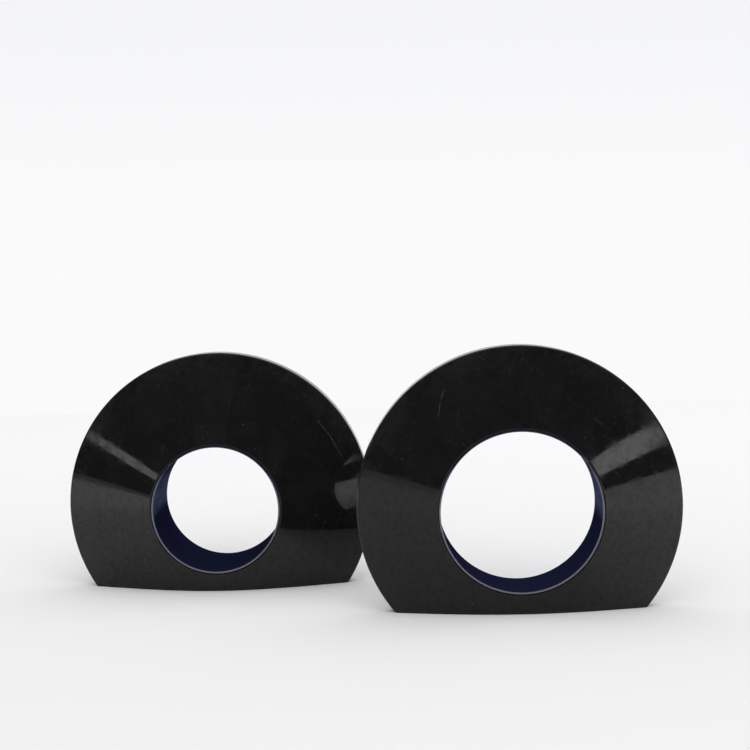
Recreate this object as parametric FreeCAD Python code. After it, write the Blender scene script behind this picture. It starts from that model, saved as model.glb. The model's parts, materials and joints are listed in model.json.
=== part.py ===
import FreeCAD, Part
import math
import os

# A pair of ring-shaped clappers that stand on flat feet, side by side.
# Each clapper is two hollow shells joined round the rim, with a thin sleeve through its bore.
# Frame: the origin is the middle of the right clapper's foot, +Z is up, the right clapper's
# bore runs along Y and both clappers face -Y.  Millimetres and degrees throughout.

# ---- sizes that both clappers share ---------------------------------------------------------
RING_RADIUS = 40.0         # outside of the rim
RIM_BAND = 4.8             # width of the narrow band round the rim, both shells together
RIM_EDGE_ROUND = 0.6       # rounding where a sloping face meets the rim band
MOUTH_EDGE_ROUND = 0.35    # rounding of a shell's lip at the mouth of the bore
FOOT_EDGE_ROUND = 0.4      # rounding of the outline of the foot
SEAM_CHAMFER = 0.15        # bevel on each shell along the rim seam

FACE_WALL = 2.2            # wall behind a sloping face, square to the face
RIM_WALL = 2.4             # wall behind the rim band
FOOT_WALL = 2.2            # wall above the foot
COLLAR_WALL = 1.8          # tube of each shell round the sleeve
SADDLE_WIDTH = 14.0        # solid web that stands the collar on the foot

TONGUE_WALL = 1.0          # tongue of the front shell that locates the rear shell
TONGUE_LENGTH = 1.2
TONGUE_CLEARANCE = 0.1     # round the tongue, and at its end

SLEEVE_WALL = 0.4
SLEEVE_END_ROUND = 0.15
SLEEVE_CLEARANCE = 0.05    # glue gap between the sleeve and the collars

# ---- sizes of each clapper ------------------------------------------------------------------
LEFT_BORE_RADIUS = 16.3    # inside of the sleeve
LEFT_SOLE = 5.5            # from the bottom of the bore down to the foot
LEFT_SPAN = 28.0           # from mouth to mouth, along the bore

RIGHT_BORE_RADIUS = 19.6
RIGHT_SOLE = 5.7
RIGHT_SPAN = 18.8

# ---- how the pair stands --------------------------------------------------------------------
LEFT_ASIDE = 76.4          # from the right clapper's middle to the left one's, towards -X
LEFT_BEHIND = 41.4         # and towards +Y
LEFT_TURN = -1.96          # of the left clapper about Z; it faces slightly to -X

OVERCUT = 10.0             # how far a cutting block runs past what it cuts

AXIS = FreeCAD.Vector(0, 1, 0)
CENTRE = FreeCAD.Vector(0, 0, 0)


class Clapper:
    """The sizes of one clapper, worked out from its bore, sole and span."""

    def __init__(self, bore_radius, sole, span):
        self.bore_radius = bore_radius
        self.axis_height = bore_radius + sole
        self.half_span = span / 2
        self.half_band = RIM_BAND / 2
        self.sleeve_radius = bore_radius + SLEEVE_WALL
        self.collar_inside = self.sleeve_radius + SLEEVE_CLEARANCE
        self.collar_outside = self.collar_inside + COLLAR_WALL
        rise = self.half_span - self.half_band
        self.slope = math.atan2(rise, RING_RADIUS - self.collar_inside)

    def face_height(self, radius):
        """Height of the sloping face above the seam plane, at a distance from the axis."""
        return self.half_band + (RING_RADIUS - radius) * math.tan(self.slope)

    def cavity_height(self, radius):
        """The same for the inside of the face's wall."""
        return self.face_height(radius) - FACE_WALL / math.cos(self.slope)


def point(radius, height):
    """A point of a turned outline: distance from the axis, and height above the seam."""
    return FreeCAD.Vector(radius, height, 0)


def rounded_corner(before, corner, after, radius):
    """Start, middle and end of the arc that rounds a corner of an outline."""
    back = (before - corner).normalize()
    ahead = (after - corner).normalize()
    half_angle = back.getAngle(ahead) / 2
    reach = radius / math.tan(half_angle)
    inward = (back + ahead).normalize()
    centre = corner + inward * (radius / math.sin(half_angle))
    return corner + back * reach, centre - inward * radius, corner + ahead * reach


def turned_solid(corners, rounds):
    """Turn a closed outline about the bore's axis.  rounds maps a corner's index to a radius."""
    count = len(corners)
    stops = []
    for index, corner in enumerate(corners):
        if index in rounds:
            before = corners[index - 1]
            after = corners[(index + 1) % count]
            stops.append(rounded_corner(before, corner, after, rounds[index]))
        else:
            stops.append((corner,))
    edges = []
    for index, stop in enumerate(stops):
        if len(stop) == 3:
            edges.append(Part.Arc(*stop).toShape())
        following = stops[(index + 1) % count]
        edges.append(Part.LineSegment(stop[-1], following[0]).toShape())
    face = Part.Face(Part.Wire(edges))
    return face.revolve(CENTRE, AXIS, 360)


def above(height, shape):
    """The part of a shape that lies above a level."""
    box = shape.BoundBox
    size = box.DiagonalLength + 2 * OVERCUT
    corner = FreeCAD.Vector(box.Center.x - size / 2, box.Center.y - size / 2, height)
    block = Part.makeBox(size, size, size, corner)
    return shape.common(block)


def ring_solid(inside, outside, low, high):
    """A plain turned ring, from one height above the seam plane to another."""
    corners = [point(inside, low), point(outside, low), point(outside, high), point(inside, high)]
    return turned_solid(corners, {})


def outer_form(clapper):
    """Half of a clapper, solid, from the seam plane up to the mouth."""
    corners = [
        point(clapper.collar_inside, 0),
        point(RING_RADIUS - SEAM_CHAMFER, 0),
        point(RING_RADIUS, SEAM_CHAMFER),
        point(RING_RADIUS, clapper.half_band),
        point(clapper.collar_inside, clapper.half_span),
    ]
    form = turned_solid(corners, {3: RIM_EDGE_ROUND, 4: MOUTH_EDGE_ROUND})
    return above(-clapper.axis_height, form)


def round_foot(form, clapper):
    """Round the foot's outline, all but the edges that lie in the seam plane."""
    outline = []
    for edge in form.Edges:
        box = edge.BoundBox
        on_foot = abs(box.ZMax + clapper.axis_height) < 0.001 and box.ZLength < 0.001
        in_seam = box.YMax < SEAM_CHAMFER + 0.001
        if on_foot and not in_seam:
            outline.append(edge)
    return form.makeFillet(FOOT_EDGE_ROUND, outline)


def cavity(clapper):
    """The hollow of one shell: between the face, the rim, the foot and the collar."""
    rim_inside = RING_RADIUS - RIM_WALL
    corners = [
        point(clapper.collar_outside, -OVERCUT),
        point(rim_inside, -OVERCUT),
        point(rim_inside, clapper.cavity_height(rim_inside)),
        point(clapper.collar_outside, clapper.cavity_height(clapper.collar_outside)),
    ]
    hollow = above(FOOT_WALL - clapper.axis_height, turned_solid(corners, {}))
    saddle_corner = FreeCAD.Vector(-SADDLE_WIDTH / 2, -OVERCUT, -clapper.axis_height)
    saddle_depth = clapper.half_span + 2 * OVERCUT
    saddle = Part.makeBox(SADDLE_WIDTH, saddle_depth, clapper.axis_height, saddle_corner)
    return hollow.cut(saddle)


def half_shell(clapper):
    """One hollow shell, with its seam in the plane Y = 0 and its mouth towards +Y."""
    form = round_foot(outer_form(clapper), clapper)
    return form.cut(cavity(clapper))


def tongue(clapper, clearance):
    """The lap round the inside of the rim, or, with a clearance, the rebate that takes it."""
    inside = RING_RADIUS - RIM_WALL
    outside = inside + TONGUE_WALL + clearance
    ring = ring_solid(inside, outside, -TONGUE_LENGTH - clearance, TONGUE_LENGTH / 4)
    foot_inside = FOOT_WALL - clapper.axis_height
    return above(foot_inside + TONGUE_CLEARANCE - clearance, ring)


def front_shell(clapper):
    shell = half_shell(clapper).fuse(tongue(clapper, 0)).removeSplitter()
    shell.rotate(CENTRE, FreeCAD.Vector(0, 0, 1), 180)
    return shell


def rear_shell(clapper):
    rebate = tongue(clapper, TONGUE_CLEARANCE)
    rebate.rotate(CENTRE, FreeCAD.Vector(0, 0, 1), 180)
    return half_shell(clapper).cut(rebate)


def bore_sleeve(clapper):
    corners = [
        point(clapper.bore_radius, -clapper.half_span),
        point(clapper.sleeve_radius, -clapper.half_span),
        point(clapper.sleeve_radius, clapper.half_span),
        point(clapper.bore_radius, clapper.half_span),
    ]
    rounds = {index: SLEEVE_END_ROUND for index in range(len(corners))}
    return turned_solid(corners, rounds)


def stand(shape, clapper, aside, behind, turn):
    """Turn a piece about the vertical, and stand its clapper in its place."""
    shape.rotate(CENTRE, FreeCAD.Vector(0, 0, 1), turn)
    shape.translate(FreeCAD.Vector(aside, behind, clapper.axis_height))
    return shape


PIECES = {
    "front_shell": front_shell,
    "rear_shell": rear_shell,
    "bore_sleeve": bore_sleeve,
}

CLAPPERS = {
    "left": (Clapper(LEFT_BORE_RADIUS, LEFT_SOLE, LEFT_SPAN), -LEFT_ASIDE, LEFT_BEHIND, LEFT_TURN),
    "right": (Clapper(RIGHT_BORE_RADIUS, RIGHT_SOLE, RIGHT_SPAN), 0, 0, 0),
}


def main():
    os.makedirs("parts", exist_ok=True)
    for side, (clapper, aside, behind, turn) in CLAPPERS.items():
        print(side, "axis height", round(clapper.axis_height, 3),
              "slope", round(math.degrees(clapper.slope), 2))
        for piece, make in PIECES.items():
            shape = stand(make(clapper), clapper, aside, behind, turn)
            solid = shape.Solids[0]
            name = side + "_" + piece
            print(name, "solids", len(shape.Solids), "valid", shape.isValid(),
                  "volume", round(solid.Volume, 1))
            solid.exportStep("parts/" + name + ".step")


main()
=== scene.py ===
# %% [markdown]
# # A pair of ring-shaped clappers
#
# Two glossy black rings stand on flat feet. Each is thick at its bore and thin at its rim, and a
# thin navy sleeve lines the bore. This lesson builds the looks of the pair around a finished
# engineering model: the model says where each piece is and how it moves, and the pieces made here
# stand for its parts with cleaner surfaces and a real finish.
#
# The object is almost nothing but its reflections, so three things matter: turned surfaces with
# no facets, small roundings on every edge, and a studio that is bright behind the object and
# dark in front of it, but for the white table and a few small cards.

# %% Load the engineering model
import json
import math

import bmesh
import bpy
from mathutils import Euler, Matrix, Vector


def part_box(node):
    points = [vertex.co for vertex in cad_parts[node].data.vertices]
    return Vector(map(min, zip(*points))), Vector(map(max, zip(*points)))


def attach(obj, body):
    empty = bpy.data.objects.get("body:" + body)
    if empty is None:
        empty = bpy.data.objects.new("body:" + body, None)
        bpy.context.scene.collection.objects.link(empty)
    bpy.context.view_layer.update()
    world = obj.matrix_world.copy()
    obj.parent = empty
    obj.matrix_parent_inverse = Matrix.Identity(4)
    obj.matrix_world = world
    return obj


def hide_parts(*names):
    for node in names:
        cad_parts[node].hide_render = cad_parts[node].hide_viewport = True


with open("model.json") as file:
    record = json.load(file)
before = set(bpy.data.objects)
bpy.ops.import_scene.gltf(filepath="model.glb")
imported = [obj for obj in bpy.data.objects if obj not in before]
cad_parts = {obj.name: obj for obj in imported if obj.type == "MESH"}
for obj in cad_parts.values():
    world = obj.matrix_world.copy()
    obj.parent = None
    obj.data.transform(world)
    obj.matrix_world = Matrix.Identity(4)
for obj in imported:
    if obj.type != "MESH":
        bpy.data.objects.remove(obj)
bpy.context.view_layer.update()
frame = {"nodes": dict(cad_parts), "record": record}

record = frame["record"]
mounts = {mount["name"]: mount for mount in record["mounts"]}
MM = 0.001
print("nodes:", sorted(frame["nodes"]))

# %% [markdown]
# ## The sizes of each clapper
#
# A clapper is a turned piece, so a few numbers describe it: the bore's centre, direction and
# radius come from the model's list of mounts, and the rim's radius is the distance from the
# bore's centre up to the top of the shell. The rest are the small sizes of edges and walls, which
# both clappers share, and how finely the turned surfaces are divided.

# %% The sizes of each clapper
HALF_BAND = 2.4 * MM          # half the width of the band round the rim
RIM_EDGE_ROUND = 0.6 * MM     # where a sloping face meets the band
MOUTH_EDGE_ROUND = 0.35 * MM  # the shell's lip at the mouth of the bore
SEAM_CHAMFER = 0.15 * MM      # bevel of each shell along the rim seam
FOOT_EDGE_ROUND = 0.35 * MM   # outline of the foot
FACE_WALL = 2.2 * MM
RIM_WALL = 2.4 * MM
FOOT_WALL = 2.2 * MM
COLLAR_WALL = 1.8 * MM
SLEEVE_WALL = 0.4 * MM
SLEEVE_END_ROUND = 0.15 * MM
SLEEVE_GAP = 0.05 * MM        # glue gap round the sleeve
SEGMENTS = 288                # flats round a full turn
ARC_STEPS = 6                 # flats on each rounded corner
FOOT_ROUND_STEPS = 3          # flats on the rounding of the foot
HOLD = 0.08 * MM              # distance of the extra points from the ends of a straight stretch
FACE_PITCH = 1.6 * MM         # spacing of points along the outside of a shell
HOLLOW_PITCH = 6 * MM         # the same along the hollow inside it
SLEEVE_PITCH = 2 * MM         # the same along a sleeve


class Clapper:
    """The place and sizes of one clapper, read from the engineering model."""

    def __init__(self, side):
        bore = mounts[side + "_bore"]
        self.side = side
        self.body = side + "_clapper"
        self.centre = Vector(bore["pos_m"])
        rearward = Vector(bore["axis"])
        self.turn = math.atan2(-rearward.x, rearward.y)
        self.place = Matrix.Translation(self.centre) @ Matrix.Rotation(self.turn, 4, "Z")
        self.bore_radius = bore["dims"]["r_mm"] * MM
        self.half_span = bore["dims"]["length_mm"] * MM / 2 + SLEEVE_END_ROUND
        self.rim_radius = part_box(side + "_front_shell")[1].z - self.centre.z
        self.foot_level = -self.centre.z
        self.sleeve_radius = self.bore_radius + SLEEVE_WALL
        self.collar_inside = self.sleeve_radius + SLEEVE_GAP
        self.collar_outside = self.collar_inside + COLLAR_WALL
        rise = self.half_span - HALF_BAND
        self.slope = math.atan2(rise, self.rim_radius - self.collar_inside)

    def cavity_height(self, radius):
        """Height of the inside of the sloping wall above the seam, at a distance from the axis."""
        outside = HALF_BAND + (self.rim_radius - radius) * math.tan(self.slope)
        return outside - FACE_WALL / math.cos(self.slope)


clappers = [Clapper("left"), Clapper("right")]
for clapper in clappers:
    print(clapper.side, "rim", round(clapper.rim_radius / MM, 2),
          "bore", round(clapper.bore_radius / MM, 2),
          "turn", round(math.degrees(clapper.turn), 2),
          "slope", round(math.degrees(clapper.slope), 2))

# %% [markdown]
# ## Outlines with rounded corners
#
# Every piece here is turned on a lathe in principle, so each starts as an outline: points that
# give a distance from the axis and a height above the seam. A corner becomes a short arc, and a
# long straight stretch is divided, with one extra point close to each end. Those extra points
# hold the shading of a rounded edge to the edge, so that the face beside it still reflects like
# flat glass.

# %% Outlines with rounded corners
def rounded_corner(before, corner, after, radius):
    """Points of the arc that rounds a corner of an outline."""
    back = (before - corner).normalized()
    ahead = (after - corner).normalized()
    half_angle = back.angle(ahead) / 2
    start = corner + back * (radius / math.tan(half_angle))
    centre = corner + (back + ahead).normalized() * (radius / math.sin(half_angle))
    sweep = math.pi - 2 * half_angle
    turning = math.copysign(sweep, back.x * ahead.y - back.y * ahead.x)
    spoke = start - centre
    points = []
    for step in range(ARC_STEPS + 1):
        angle = -turning * step / ARC_STEPS
        cosine, sine = math.cos(angle), math.sin(angle)
        turned = Vector((spoke.x * cosine - spoke.y * sine, spoke.x * sine + spoke.y * cosine))
        points.append(centre + turned)
    return points


def stretch(start, end, pitch):
    """Points between two ends of a straight stretch, with one held close to each end."""
    length = (end - start).length
    if length < 4 * HOLD:
        return []
    count = max(1, round(length / pitch))
    stations = [HOLD] + [length * index / count for index in range(1, count)] + [length - HOLD]
    return [start.lerp(end, station / length) for station in stations]


def outline(corners, rounds, pitch, closed):
    """Outline points from corner points, rounding those whose index is in rounds."""
    corners = [Vector(corner) for corner in corners]
    stops = []
    for index, corner in enumerate(corners):
        if index in rounds:
            after = corners[(index + 1) % len(corners)]
            stops.append(rounded_corner(corners[index - 1], corner, after, rounds[index]))
        else:
            stops.append([corner])
    points = []
    for index, stop in enumerate(stops):
        points += stop
        last = index == len(stops) - 1
        if closed or not last:
            points += stretch(stop[-1], stops[(index + 1) % len(stops)][0], pitch)
    return points


def turned(corners, rounds, pitch, closed=False):
    """A new bmesh with an outline turned a full circle about the Y axis."""
    mesh = bmesh.new()
    points = outline(corners, rounds, pitch, closed)
    chain = [mesh.verts.new((point.x, point.y, 0)) for point in points]
    edges = [mesh.edges.new(pair) for pair in zip(chain, chain[1:])]
    if closed:
        edges.append(mesh.edges.new((chain[-1], chain[0])))
    bmesh.ops.spin(mesh, geom=chain + edges, cent=(0, 0, 0), axis=(0, 1, 0), dvec=(0, 0, 0),
                   angle=2 * math.pi, steps=SEGMENTS, use_merge=True, use_duplicate=False)
    return mesh


print("a rounded corner has", ARC_STEPS, "flats, and a full turn", SEGMENTS)

# %% [markdown]
# ## Standing a ring on a flat foot
#
# The foot is a flat cut across the ring. A bisect operator makes the cut and a fill closes it.
# The cut leaves slivers where it passes close to a point of the turned surface, and a bevel
# would tear there, so each such point is first welded to the cut. It slides along the surface
# that it is already on, so the shape doesn't change.

# %% Standing a ring on a flat foot
WELD = FOOT_EDGE_ROUND * 1.15
ON_CUT = 1e-7                 # points this close to the cut's plane are on it


def cut_foot(mesh, level):
    """Cut a turned skin flat at a level, weld slivers to the cut, close it, and give its outline."""
    everything = mesh.verts[:] + mesh.edges[:] + mesh.faces[:]
    bmesh.ops.bisect_plane(mesh, geom=everything, dist=ON_CUT, plane_co=(0, 0, level),
                           plane_no=(0, 0, -1), clear_outer=True)
    on_cut = {vert for vert in mesh.verts if abs(vert.co.z - level) < ON_CUT}
    targets = {}
    for vert in on_cut:
        for edge in vert.link_edges:
            other = edge.other_vert(vert)
            if other not in on_cut and other.co.z - level < WELD:
                targets[other] = vert
    bmesh.ops.weld_verts(mesh, targetmap=targets)
    rim = [edge for edge in mesh.edges
           if edge.is_boundary and all(abs(vert.co.z - level) < ON_CUT for vert in edge.verts)]
    ends = [vert for edge in rim for vert in edge.verts
            if sum(other in rim for other in vert.link_edges) == 1]
    closing = mesh.edges.new(ends)
    bmesh.ops.contextual_create(mesh, geom=rim + [closing])
    return rim


def round_foot(mesh, rim):
    """Round the outline of the foot."""
    rim = [edge for edge in rim if edge.is_valid]
    bmesh.ops.bevel(mesh, geom=rim, offset=FOOT_EDGE_ROUND, offset_type="OFFSET",
                    segments=FOOT_ROUND_STEPS, profile=0.5, affect="EDGES", clamp_overlap=True,
                    loop_slide=True, material=-1)


print("slivers up to", round(WELD / MM, 2), "mm above the foot are welded to it")

# %% [markdown]
# ## The shells
#
# Each clapper is two hollow shells, joined round the rim. A shell is made as two skins. The outer
# skin has the sloping face, the lip, the half of the rim band and the tube round the sleeve. The
# inner skin is the hollow behind them. Both are turned and cut by the foot. Four nested outlines
# are then left open in the seam plane, and one fill between them closes every wall at its real
# thickness.

# %% The shells
def close_seam(mesh):
    """Fill the walls' cut faces in the seam plane, which leaves the hollow and the bore open."""
    edges = [edge for edge in mesh.edges if edge.is_boundary]
    bmesh.ops.triangle_fill(mesh, edges=edges, use_beauty=True, normal=(0, 1, 0))


def outer_skin(clapper):
    corners = [
        (clapper.rim_radius - SEAM_CHAMFER, 0),
        (clapper.rim_radius, SEAM_CHAMFER),
        (clapper.rim_radius, HALF_BAND),
        (clapper.collar_inside, clapper.half_span),
        (clapper.collar_inside, 0),
    ]
    mesh = turned(corners, {2: RIM_EDGE_ROUND, 3: MOUTH_EDGE_ROUND}, FACE_PITCH)
    round_foot(mesh, cut_foot(mesh, clapper.foot_level))
    return mesh


def inner_skin(clapper):
    rim_inside = clapper.rim_radius - RIM_WALL
    corners = [
        (rim_inside, 0),
        (rim_inside, clapper.cavity_height(rim_inside)),
        (clapper.collar_outside, clapper.cavity_height(clapper.collar_outside)),
        (clapper.collar_outside, 0),
    ]
    mesh = turned(corners, {}, HOLLOW_PITCH)
    cut_foot(mesh, clapper.foot_level + FOOT_WALL)
    return mesh


def join(mesh, other):
    """Copy one bmesh into another."""
    carrier = bpy.data.meshes.new("carrier")
    other.to_mesh(carrier)
    other.free()
    mesh.from_mesh(carrier)
    bpy.data.meshes.remove(carrier)


def finished_piece(mesh, name, clapper, body_turn=0.0):
    """Stand a bmesh in its clapper's place, make it an object and let it ride."""
    bmesh.ops.rotate(mesh, verts=mesh.verts, cent=(0, 0, 0),
                     matrix=Matrix.Rotation(body_turn, 3, "Z"))
    bmesh.ops.transform(mesh, matrix=clapper.place, verts=mesh.verts)
    bmesh.ops.recalc_face_normals(mesh, faces=mesh.faces)
    for face in mesh.faces:
        face.smooth = True
    data = bpy.data.meshes.new(name)
    mesh.to_mesh(data)
    mesh.free()
    piece = bpy.data.objects.new(name, data)
    bpy.context.scene.collection.objects.link(piece)
    shading = piece.modifiers.new("even shading", "WEIGHTED_NORMAL")
    shading.mode = "FACE_AREA"
    shading.weight = 100
    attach(piece, clapper.body)
    return piece


def shell(clapper, part, body_turn):
    mesh = outer_skin(clapper)
    join(mesh, inner_skin(clapper))
    close_seam(mesh)
    name = clapper.side + "_" + part
    piece = finished_piece(mesh, name + "_skin", clapper, body_turn)
    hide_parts(name)
    return piece


shells = []
for clapper in clappers:
    shells.append(shell(clapper, "front_shell", math.pi))
    shells.append(shell(clapper, "rear_shell", 0.0))
for piece in shells:
    print(piece.name, len(piece.data.polygons), "faces")

# %% [markdown]
# ## The sleeves
#
# A sleeve is a thin tube with rounded ends. Its outline is a closed loop, so that one full turn
# makes the whole tube, inside and outside, with no seam to merge by hand.

# %% The sleeves
def sleeve(clapper):
    corners = [
        (clapper.bore_radius, -clapper.half_span),
        (clapper.sleeve_radius, -clapper.half_span),
        (clapper.sleeve_radius, clapper.half_span),
        (clapper.bore_radius, clapper.half_span),
    ]
    rounds = {index: SLEEVE_END_ROUND for index in range(4)}
    mesh = turned(corners, rounds, SLEEVE_PITCH, closed=True)
    name = clapper.side + "_bore_sleeve"
    piece = finished_piece(mesh, name + "_skin", clapper)
    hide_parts(name)
    return piece


sleeves = [sleeve(clapper) for clapper in clappers]
for piece in sleeves:
    print(piece.name, len(piece.data.polygons), "faces")

# %% [markdown]
# ## Writing materials as expressions
#
# A material is a graph of nodes, and arithmetic in a graph is hard to read. One small class wraps
# a socket, so that `1 - mask` adds the Math node that it needs, and one method makes every other
# node from its kind, its settings and the values or links of its sockets.

# %% Writing materials as expressions
class Wire:
    """The output of a node, with Python's arithmetic."""

    def __init__(self, finish, socket):
        self.finish = finish
        self.socket = socket

    def math(self, operation, *values):
        inputs = dict(enumerate((self,) + values))
        return self.finish.node("Math", {"operation": operation}, inputs)

    def __add__(self, other):
        return self.math("ADD", other)

    def __sub__(self, other):
        return self.math("SUBTRACT", other)

    def __mul__(self, other):
        return self.math("MULTIPLY", other)

    def __truediv__(self, other):
        return self.math("DIVIDE", other)

    def __pow__(self, other):
        return self.math("POWER", other)

    def __rsub__(self, other):
        return self.finish.node("Math", {"operation": "SUBTRACT"}, {0: other, 1: self})

    def __neg__(self):
        return self * -1.0

    def __abs__(self):
        return self.math("ABSOLUTE")

    __radd__ = __add__
    __rmul__ = __mul__

    def ramp(self, low, high):
        """0 at low, 1 at high and a smooth step between, with low above or below high."""
        return self.finish.node("MapRange", {"interpolation_type": "SMOOTHSTEP"},
                                {"Value": self, "From Min": low, "From Max": high})

    def greatest(self, other):
        return self.math("MAXIMUM", other)


class Finish:
    """A material whose nodes are made from expressions."""

    def __init__(self, name):
        self.material = bpy.data.materials.new(name)
        self.material.use_nodes = True
        self.tree = self.material.node_tree
        self.tree.nodes.clear()

    def node(self, kind, settings=None, inputs=None, output=0):
        """Make any node: its settings first, then the values or links of its sockets."""
        made = self.tree.nodes.new("ShaderNode" + kind)
        for name, value in (settings or {}).items():
            setattr(made, name, value)
        for name, value in (inputs or {}).items():
            if isinstance(value, Wire):
                self.tree.links.new(value.socket, made.inputs[name])
            else:
                made.inputs[name].default_value = value
        return Wire(self, made.outputs[output]) if made.outputs else made

    def axis(self, vector, index):
        """One of the three numbers of a vector."""
        return self.node("SeparateXYZ", {}, {0: vector}, output=index)

    def mixed(self, share, first, second):
        """A colour that goes from the first to the second as the share rises from 0 to 1."""
        return self.node("Mix", {"data_type": "RGBA"}, {0: share, 6: first, 7: second}, output=2)

    def noise(self, place, size, detail, squeeze=(1, 1, 1), turn=(0, 0, 0)):
        """Cloudy noise from 0 to 1, with lumps of about the given size in millimetres."""
        scale = tuple(value / size for value in squeeze)
        turned_place = self.node("Mapping", {}, {"Vector": place, "Rotation": turn})
        scaled_place = self.node("Mapping", {}, {"Vector": turned_place, "Scale": scale})
        return self.node("TexNoise", {}, {"Vector": scaled_place, "Scale": 1.0, "Detail": detail})

    def surface(self, shader):
        self.node("OutputMaterial", {}, {"Surface": shader})
        return self.material


print("expressions ready")

# %% [markdown]
# ## Coordinates on a ring
#
# Wear follows the shape: it gathers along the rim, the lip and the foot. So each finish first
# turns the position of a point into millimetres measured from the centre of its own bore. From
# those come the distance from the axis, which is large at the rim and small at the lip, and the
# height above the table.

# %% Coordinates on a ring
class RingPlace:
    """Where a point of a clapper is, in mm: across, rearward and up from its bore's centre."""

    def __init__(self, finish, clapper):
        position = finish.node("TexCoord", output="Object")
        self.point = finish.node("Mapping", {"vector_type": "TEXTURE"}, {
            "Vector": position, "Location": clapper.centre, "Rotation": (0, 0, clapper.turn),
            "Scale": (MM, MM, MM)})
        self.across = finish.axis(self.point, 0)
        self.rearward = finish.axis(self.point, 1)
        self.up = finish.axis(self.point, 2)
        self.radius = (self.across * self.across + self.up * self.up) ** 0.5

    def stroke(self, start, end, width):
        """A mask, 1 on a straight stroke between two points of the front face and 0 away from it."""
        run = Vector(end) - Vector(start)
        ahead = run.normalized()
        along = (self.across - start[0]) * ahead.x + (self.up - start[1]) * ahead.y
        aside = abs((self.across - start[0]) * ahead.y - (self.up - start[1]) * ahead.x)
        beyond = (-along).greatest(along - run.length).greatest(0.0)
        return (aside + beyond).ramp(width, width * 0.3)


print("ring coordinates ready")

# %% [markdown]
# ## The finish of the shells
#
# The real shells are polished black plastic. A polish is never perfect: it carries a thin haze of
# handling, fine wiping scratches, a few specks of dust, and a duller, greyer zone where the rim
# gets knocked. Each is a separate mask in millimetres, so its scale can be checked against the
# object, and the masks then drive colour, roughness and a very shallow bump. The haze is mostly a
# change of colour, because a rougher polish would lose the crisp reflections. Towards the rim the
# haze is thicker and lighter: handling haze, and a painted brightening of the reflection near the
# rim. In patches, and where the haze is thick, a little of a flat grey shader is mixed in, as a
# film of grime that mirrors nothing.

# %% The finish of the shells
BLACK = (0.0038, 0.0038, 0.0040, 1)
# The haze colour; near the rim it also paints in the brighter reflection there.
HAZE_AND_RIM_SHEEN = (0.0095, 0.0094, 0.0092, 1)
WORN = (0.030, 0.030, 0.030, 1)
DUST = (0.16, 0.16, 0.165, 1)
GRIME = (0.0085, 0.0084, 0.0082, 1)
HAIRLINE_WIDTH = 0.14
HAIRLINES = {                 # corners of two scratches, across and up from the bore's centre, in mm
    "left": [(26.4, 22.1), (29.8, 17.8), (32.8, 12.1)],
    "right": [(-18.1, 29.9), (-19.2, 26.1), (-19.6, 23.3)],
}
WIPE_SPACING, BREAK_SPACING = 1.4, 5.0    # between the lines, and between their breaks, in mm
WIPES = [(0.15, 90.0), (0.9, 60.0), (-0.6, 80.0)]      # turn in radians, and stretch along it
DUST_SIZES = [(2.6, 0.11, 0.24), (1.3, 0.08, 0.16)]    # spacing and radius in mm, share of cells
CLOUD, SMUDGE, MOTTLE, DULL, PATCH = 9.0, 2.4, 1.6, 1.1, 0.7    # sizes of lumps, in mm
SWELL = 5.0                   # spacing of the slow waves of the moulded surface, in mm
WORN_SHARE = 0.15             # how far an edge goes to the worn colour everywhere
PATCHY_SHARE = 0.3            # and how much further in its patches
WIPE_SHARE, HAIRLINE_SHARE, DUST_SHARE = 0.12, 0.30, 0.55    # how far each goes to the dust colour
POLISH = 0.03                 # roughness of the clean polish
RELIEF = 0.3e-6               # depth of one unit of height, in metres
GRIME_ROUGHNESS = 0.8


def specks(finish, place, spacing, radius, share):
    """A mask of round specks of about a radius, on a share of the cells of a spacing."""
    cells = finish.node("Mapping", {}, {"Vector": place.point, "Scale": (1 / spacing,) * 3})
    settings = {"feature": "F1"}
    inputs = {"Vector": cells, "Scale": 1.0}
    distance = finish.node("TexVoronoi", settings, inputs, output=0)
    draw = finish.node("TexVoronoi", settings, inputs, output=1)
    chosen = finish.axis(draw, 0).ramp(1.0 - share, 1.0 - share + 0.01)
    size = (finish.axis(draw, 1) + 0.4) * (radius / spacing)
    return (distance / size).ramp(1.0, 0.55) * chosen


def wiping_scratches(finish, place, turn, stretched, seed):
    """Hairline scratches in one direction, broken up into short runs."""
    lines = finish.noise(place.point, WIPE_SPACING, 0.0, (1, 1, 1 / stretched), (0, turn, 0))
    breaks = finish.noise(place.point, BREAK_SPACING + seed, 1.0)
    return abs(lines - 0.5).ramp(0.006, 0.001) * breaks.ramp(0.55, 0.66)


def greatest_of(masks):
    """The strongest of several masks at each point."""
    strongest = masks[0]
    for mask in masks[1:]:
        strongest = strongest.greatest(mask)
    return strongest


def shell_edges(clapper, place):
    """A mask of the edges that get rubbed: the rim's corner, the lip and, less so, the foot."""
    rim = clapper.rim_radius / MM
    mouth = clapper.collar_inside / MM
    foot = clapper.foot_level / MM
    rim_corner = place.radius.ramp(rim - 0.5, rim - 0.1)
    lip = place.radius.ramp(mouth + 0.35, mouth + 0.05)
    foot_edge = place.up.ramp(foot + 0.7, foot + 0.15) * 0.7
    return greatest_of([rim_corner, lip, foot_edge])


def hairline_mask(clapper, place):
    """The long scratch on the front face of a clapper."""
    start, middle, end = HAIRLINES[clapper.side]
    strokes = [place.stroke(start, middle, HAIRLINE_WIDTH), place.stroke(middle, end, HAIRLINE_WIDTH)]
    return greatest_of(strokes) * place.rearward.ramp(0.0, -0.5)


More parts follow.
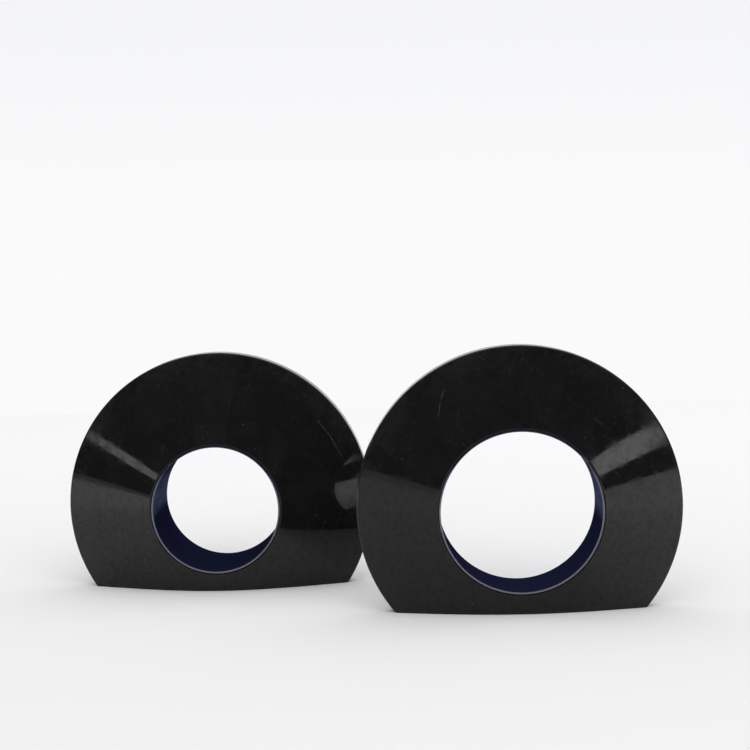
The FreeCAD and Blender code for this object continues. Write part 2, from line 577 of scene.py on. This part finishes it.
def black_finish(clapper):
    finish = Finish(clapper.side + "_polished_black")
    place = RingPlace(finish, clapper)
    rim = clapper.rim_radius / MM

    clouds = finish.noise(place.point, CLOUD, 5.0)
    mottle = finish.noise(place.point, MOTTLE, 3.0)
    film = clouds.ramp(0.38, 0.68) * 0.55 + mottle.ramp(0.35, 0.75) * 0.45
    # near_rim thickens the haze towards the rim: handling haze, and a painted brightening of the
    # reflection near the rim.
    near_rim = place.radius.ramp(rim - 7.0, rim - 0.8)
    patchy = finish.noise(place.point, PATCH, 4.0).ramp(0.38, 0.62)
    scratches = greatest_of([wiping_scratches(finish, place, turn, stretched, seed)
                             for seed, (turn, stretched) in enumerate(WIPES)])
    hairline = hairline_mask(clapper, place) * patchy
    smudges = finish.noise(place.point, SMUDGE, 5.0).ramp(0.46, 0.66)
    dust = greatest_of([specks(finish, place, *sizes) for sizes in DUST_SIZES])

    paler_share = shell_edges(clapper, place) * (patchy * PATCHY_SHARE + WORN_SHARE)
    colour = finish.mixed(film * (near_rim * 0.9 + 0.55), BLACK, HAZE_AND_RIM_SHEEN)
    colour = finish.mixed(paler_share, colour, WORN)
    for mask, share in ((scratches, WIPE_SHARE), (hairline, HAIRLINE_SHARE), (dust, DUST_SHARE)):
        colour = finish.mixed(mask * share, colour, DUST)
    hazy = film * 0.035 + near_rim * 0.025 + smudges * 0.06
    roughness = hazy + dust * 0.4 + scratches * 0.05 + POLISH
    swell = finish.noise(place.point, SWELL, 2.0)
    height = swell * 2.0 + mottle * 0.12 - scratches * 0.25 + dust * 3.0
    bump = finish.node("Bump", {}, {"Height": height, "Strength": 1.0, "Distance": RELIEF})
    polish = finish.node("BsdfPrincipled", {}, {
        "Base Color": colour, "Roughness": roughness, "IOR": 1.5, "Normal": bump})
    grime = finish.node("BsdfPrincipled", {}, {
        "Base Color": GRIME, "Roughness": GRIME_ROUGHNESS, "Specular IOR Level": 0.0, "Normal": bump})
    dull_patches = finish.noise(place.point, DULL, 4.0).ramp(0.44, 0.66)
    dull = dull_patches * 0.20 + clouds.ramp(0.40, 0.66) * 0.10
    return finish.surface(finish.node("MixShader", {}, {0: dull, 1: polish, 2: grime}))


for clapper in clappers:
    finish = black_finish(clapper)
    for piece in shells:
        if piece.name.startswith(clapper.side):
            piece.data.materials.append(finish)
    print(finish.name, len(finish.node_tree.nodes), "nodes")

# %% [markdown]
# ## The finish of the sleeves
#
# The sleeves are navy and quite matte, so their walls stay dark even where the eye skims along
# them. The sides of each bore are painted paler in streaks along the wall, as painted light. The
# rounded ends keep a coat of polish, and the lower half of each is painted grey as a painted
# highlight, which draws the thin pale line round the lower half of each mouth.

# %% The finish of the sleeves
NAVY = (0.0105, 0.0122, 0.0350, 1)
# Paler navy painted on the sides of each bore as painted light.
NAVY_PAINTED_LIGHT = (0.080, 0.088, 0.175, 1)
# Pale grey painted on the lower half of each sleeve end as a painted highlight, also the colour of the
# dust.
LIP_HIGHLIGHT_AND_DUST = (0.130, 0.133, 0.150, 1)
STREAK, GRAIN = 2.2, 0.35     # sizes of lumps, in mm
SLEEVE_DUST = (1.8, 0.09, 0.25)    # spacing and radius in mm, share of cells
SLEEVE_DUST_SHARE = 0.4
SLEEVE_ROUGHNESS = 0.6
SLEEVE_RELIEF = 4e-6          # depth of one unit of height, in metres


def navy_finish(clapper):
    finish = Finish(clapper.side + "_matte_navy")
    place = RingPlace(finish, clapper)
    span = clapper.half_span / MM

    streaks = finish.noise(place.point, STREAK, 4.0, (1, 0.25, 1))
    grain = finish.noise(place.point, GRAIN, 2.0)
    lip = abs(place.rearward).ramp(span - 0.30, span - 0.08)
    upward = place.up / place.radius       # 1 at the top of the bore, -1 at the bottom
    # Painted highlight: the lower half of each rounded end is painted pale grey, the thin pale line
    # round the mouth.
    painted_lip_highlight = lip * upward.ramp(0.65, 0.0) * (grain.ramp(0.3, 0.7) * 0.3 + 0.7)
    # Painted light: the sides of the bore, from about level to halfway up, are painted paler navy.
    painted_light_sides = upward.ramp(-0.16, 0.02) * upward.ramp(0.62, 0.40)
    dust = specks(finish, place, *SLEEVE_DUST)

    paler_share = painted_light_sides * (streaks.ramp(0.25, 0.75) * 0.5 + 0.5)
    colour = finish.mixed(paler_share, NAVY, NAVY_PAINTED_LIGHT)
    colour = finish.mixed(painted_lip_highlight, colour, LIP_HIGHLIGHT_AND_DUST)
    colour = finish.mixed(dust * SLEEVE_DUST_SHARE, colour, LIP_HIGHLIGHT_AND_DUST)
    roughness = streaks * 0.12 + SLEEVE_ROUGHNESS
    height = grain + streaks * 0.5
    bump = finish.node("Bump", {}, {"Height": height, "Strength": 1.0, "Distance": SLEEVE_RELIEF})
    shader = finish.node("BsdfPrincipled", {}, {
        "Base Color": colour, "Roughness": roughness, "Specular IOR Level": 0.0,
        "Coat Weight": lip, "Coat Roughness": 0.12, "Normal": bump})
    return finish.surface(shader)


for clapper, piece in zip(clappers, sleeves):
    finish = navy_finish(clapper)
    piece.data.materials.append(finish)
    print(finish.name, len(finish.node_tree.nodes), "nodes")

# %% [markdown]
# ## The table and the backdrop
#
# The clappers stand on a white table in front of a bright white backdrop. Black plastic shows
# what surrounds it, so the stage is also what the object reflects: white all the way to the
# horizon, and above it a dark room. What the polish mirrors of the table differs from what the
# eye sees of it, and that difference is painted light and shade. A second table top that only
# reflections see is painted dimmer straight ahead and close to the pair, and brighter to both
# sides. Near the clappers it is lit by the lamps, so that it takes their shadows, and far from
# them it glows with painted light.
#
# A large soft sphere, which only matte surfaces see, lights the table evenly from all sides.

# %% The table and the backdrop
TABLE_REAR = 0.472
TABLE_FRONT = -1.3
TABLE_SIDE = 1.6
FAR_AWAY = 12.0               # where reflections see the table end
MIRRORED_LIFT = 0.2 * MM      # height of the table in reflections above the table
BACKDROP_BEHIND = 1.2
BACKDROP_SIDE = 2.5
BACKDROP_LOW, BACKDROP_HIGH = -0.6, 2.2
SURROUND_RADIUS, SOFT_ROOM_RADIUS = 5.0, 4.5
SURROUND = (0.90, 0.90, 0.91, 1)
SOFT_ROOM = (0.64, 0.64, 0.64, 1)
# The table is painted darker near the front and lighter at the rear: painted shade and light.
TABLE_SHADED_NEAR_WHITE, TABLE_LIT_REAR_WHITE = (0.74, 0.74, 0.745, 1), (0.90, 0.90, 0.905, 1)
BACKDROP_LOW_WHITE, BACKDROP_HIGH_WHITE = (0.955, 0.957, 0.965, 1), (0.875, 0.88, 0.90, 1)
# Painted shade on the table in reflections straight ahead, and painted light to both sides.
MIRRORED_SHADED_AHEAD, MIRRORED_LIT_ASIDE = (0.50, 0.50, 0.50, 1), (0.92, 0.92, 0.92, 1)
NO_LIGHT = (0.0, 0.0, 0.0, 1)
# The far part of the table in reflections glows with painted light instead of being lit.
FAR_GLOW = 1.15               # strength of the far, glowing part of the table in reflections


def seen_by(thing, camera=False, diffuse=False, glossy=False):
    """Choose which rays meet a part of the stage. None of it casts a shadow."""
    thing.visible_camera = camera
    thing.visible_diffuse = diffuse
    thing.visible_glossy = glossy
    thing.visible_transmission = False
    thing.visible_shadow = False


def staged(mesh, name, material):
    data = bpy.data.meshes.new(name)
    mesh.to_mesh(data)
    mesh.free()
    data.materials.append(material)
    thing = bpy.data.objects.new(name, data)
    bpy.context.scene.collection.objects.link(thing)
    return thing


def rectangle(low, high):
    """A flat bmesh in the plane of the table, between two corners."""
    mesh = bmesh.new()
    bmesh.ops.create_grid(mesh, x_segments=1, y_segments=1, size=0.5)
    size = Vector((high[0] - low[0], high[1] - low[1], 1))
    middle = Vector(((low[0] + high[0]) / 2, (low[1] + high[1]) / 2, 0))
    bmesh.ops.scale(mesh, vec=size, verts=mesh.verts)
    bmesh.ops.translate(mesh, vec=middle, verts=mesh.verts)
    return mesh


def glowing(name, colour):
    finish = Finish(name)
    return finish.surface(finish.node("Emission", {}, {"Color": colour, "Strength": 1.0}))


def table_finish():
    """White table, painted darker at the front and lighter towards its rear edge: painted shade and
    light.
    """
    finish = Finish("white_table")
    rearward = finish.axis(finish.node("TexCoord", output="Object"), 1)
    colour = finish.mixed(rearward.ramp(-0.25, TABLE_REAR), TABLE_SHADED_NEAR_WHITE, TABLE_LIT_REAR_WHITE)
    return finish.surface(finish.node("BsdfDiffuse", {}, {"Color": colour}))


def mirrored_table_finish():
    """What reflections see of the table: painted shade ahead and near the pair, painted light aside."""
    finish = Finish("white_table_in_reflections")
    position = finish.node("TexCoord", output="Object")
    across = finish.axis(position, 0)
    forward = -finish.axis(position, 1)
    bearing = across.math("ARCTAN2", forward.greatest(0.0) + 0.03)
    to_left = (-bearing).ramp(math.radians(49), math.radians(59))
    to_right = bearing.ramp(math.radians(15), math.radians(44))
    aside = to_left.greatest(to_right)
    distance = ((across + 0.038) ** 2.0 + (forward + 0.02) ** 2.0) ** 0.5    # from between the pair
    # shade is painted shade: the table in reflections is darker close to the pair.
    shade = distance.ramp(0.05, 0.32) * (aside * 0.27 + 0.10) + 0.90 - aside * 0.27
    brightness = finish.mixed(shade, NO_LIGHT, finish.mixed(aside, MIRRORED_SHADED_AHEAD, MIRRORED_LIT_ASIDE))
    near = finish.node("BsdfDiffuse", {}, {"Color": brightness})
    far = finish.node("Emission", {}, {"Color": brightness, "Strength": FAR_GLOW})
    shader = finish.node("MixShader", {}, {0: distance.ramp(0.12, 0.5), 1: near, 2: far})
    return finish.surface(shader)


def backdrop_finish():
    """A white glow that is strongest low down, behind the table's edge."""
    finish = Finish("bright_backdrop")
    height = finish.axis(finish.node("TexCoord", output="Object"), 2)
    colour = finish.mixed(height.ramp(0.04, 0.42), BACKDROP_LOW_WHITE, BACKDROP_HIGH_WHITE)
    return finish.surface(finish.node("Emission", {}, {"Color": colour, "Strength": 1.0}))


def glowing_sphere(name, radius, colour):
    mesh = bmesh.new()
    bmesh.ops.create_uvsphere(mesh, u_segments=32, v_segments=16, radius=radius)
    return staged(mesh, name, glowing(name, colour))


table_shape = rectangle((-TABLE_SIDE, TABLE_FRONT), (TABLE_SIDE, TABLE_REAR))
table = staged(table_shape, "table_top", table_finish())
seen_by(table, camera=True, diffuse=True)
mirrored_shape = rectangle((-FAR_AWAY, -FAR_AWAY), (FAR_AWAY, TABLE_REAR))
bmesh.ops.translate(mirrored_shape, verts=mirrored_shape.verts, vec=(0, 0, MIRRORED_LIFT))
mirrored_table = staged(mirrored_shape, "table_in_reflections", mirrored_table_finish())
seen_by(mirrored_table, glossy=True)

upright = rectangle((-BACKDROP_SIDE, BACKDROP_LOW), (BACKDROP_SIDE, BACKDROP_HIGH))
bmesh.ops.rotate(upright, verts=upright.verts, cent=(0, 0, 0),
                 matrix=Matrix.Rotation(math.pi / 2, 3, "X"))
bmesh.ops.translate(upright, verts=upright.verts, vec=(0, BACKDROP_BEHIND, 0))
backdrop = staged(upright, "backdrop", backdrop_finish())
seen_by(backdrop, camera=True, diffuse=True, glossy=True)
seen_by(glowing_sphere("pale_surround", SURROUND_RADIUS, SURROUND), camera=True)
seen_by(glowing_sphere("soft_room_light", SOFT_ROOM_RADIUS, SOFT_ROOM), diffuse=True)
print("table from", TABLE_FRONT, "to", TABLE_REAR, "m, backdrop at", BACKDROP_BEHIND, "m")

# %% [markdown]
# ## Lights
#
# One wide soft light hangs above the table, too steep for the front faces to mirror it, and a
# weaker one fills in from the front and isn't mirrored at all. What the faces do mirror is a set
# of glowing cards. Two bright ones stand low at the front left and front right, where the sloping
# faces catch each as one wedge of light, and the right one has a dimmer end. High up there is a
# faint ceiling panel with a darker gap round it, and low and far away a pale wall. The corners of
# a card are given as the compass bearing and the elevation at which one clapper sees them.

# %% Lights
CARD_DISTANCE = 2.2
GAP_DISTANCE = 2.3            # the gap is behind the ceiling panel
WALL_DISTANCE = 11.0
LEFT_CARD = [(-54, 12.3), (-59.4, 12.3), (-61.3, 13.7), (-61.3, 14.5), (-59.8, 15.6), (-57.5, 16.2),
             (-54, 16.4)]
RIGHT_CARD = [(37, 6.3), (43.9, 6.3), (43.9, 9.8), (43.0, 10.8), (42.0, 11.9), (40.2, 12.9), (37, 13.6)]
RIGHT_CARD_END = [(43.9, 6.3), (46.4, 6.2), (46.0, 8.6), (45.2, 9.5), (43.9, 9.4)]
CEILING_GAP = [(-29.4, 41), (1.9, 41), (1.9, 54), (-29.4, 54)]
CEILING_PANEL = [(-28.2, 41), (0.7, 41), (0.7, 54), (-28.2, 54)]
LOW_FAR_WALL = [(-80, -0.3), (-20, -0.3), (-20, 2.0), (-80, 1.3)]
DARK_ROOM = (0.05, 0.05, 0.052, 1)


def card(name, clapper, corners, distance, brightness):
    """A glowing card whose corners a clapper sees at a bearing and an elevation, in degrees."""
    mesh = bmesh.new()
    ring = []
    for bearing, elevation in corners:
        direction = Vector((0, -1, 0))
        direction.rotate(Euler((-math.radians(elevation), 0, 0)))
        direction.rotate(Euler((0, 0, math.radians(bearing))))
        ring.append(mesh.verts.new(clapper.centre + direction * distance))
    bmesh.ops.contextual_create(mesh, geom=ring)
    made = staged(mesh, name, glowing(name, (brightness, brightness, brightness, 1)))
    seen_by(made, glossy=True)
    return made


left, right = clappers
cards = [
    card("left_card", left, LEFT_CARD, CARD_DISTANCE, 1.75),
    card("right_card", right, RIGHT_CARD, CARD_DISTANCE, 2.1),
    card("right_card_end", right, RIGHT_CARD_END, CARD_DISTANCE, 1.0),
    card("ceiling_gap", left, CEILING_GAP, GAP_DISTANCE, 0.025),
    card("ceiling_panel", left, CEILING_PANEL, CARD_DISTANCE, 0.085),
    card("low_far_wall", left, LOW_FAR_WALL, WALL_DISTANCE, 0.42),
]


def soft_light(name, place, tilt, size, watts):
    """A rectangular lamp that shines down, tipped to the rear by an angle in degrees."""
    lamp = bpy.data.lights.new(name, "AREA")
    lamp.shape = "RECTANGLE"
    lamp.size, lamp.size_y = size
    lamp.energy = watts
    thing = bpy.data.objects.new(name, lamp)
    thing.location = place
    thing.rotation_euler.x = math.radians(tilt)
    bpy.context.scene.collection.objects.link(thing)
    thing.visible_camera = False
    return thing


overhead = soft_light("overhead", (0.25, 0.05, 1.1), 0, (2.2, 1.5), 5.5)
fill = soft_light("front_fill", (0.10, -0.95, 0.75), 52, (1.4, 0.8), 7.0)
fill.visible_glossy = False
world = bpy.data.worlds.new("dark_room")
world.use_nodes = True
world.node_tree.nodes["Background"].inputs["Color"].default_value = DARK_ROOM
bpy.context.scene.world = world
print(len(cards), "cards, and lamps:", overhead.name, "and", fill.name)

# %% [markdown]
# ## The camera
#
# The camera looks slightly down at the pair from in front of the gap between them, through a long
# lens, so the rings keep nearly their true outlines. The picture is shown with the plain Standard
# transform, which leaves the black and the white as they are.

# %% The camera
LENS = 96
SENSOR = 36
CAMERA_PLACE = (-0.0353, -0.4865, 0.1024)
LOOKS_DOWN = 5.15             # degrees below level
HEADING = -0.0012             # radians anticlockwise from above
ROLL = -0.0216                # radians

camera_data = bpy.data.cameras.new("camera")
camera_data.lens = LENS
camera_data.sensor_width = SENSOR
camera = bpy.data.objects.new("camera", camera_data)
bpy.context.scene.collection.objects.link(camera)
heading = Matrix.Rotation(HEADING, 4, "Z")
pitch = Matrix.Rotation(math.radians(90 - LOOKS_DOWN), 4, "X")
roll = Matrix.Rotation(ROLL, 4, "Z")
camera.matrix_world = Matrix.Translation(CAMERA_PLACE) @ heading @ pitch @ roll
bpy.context.scene.camera = camera
bpy.context.scene.view_settings.view_transform = "Standard"
print("lens", LENS, "mm")
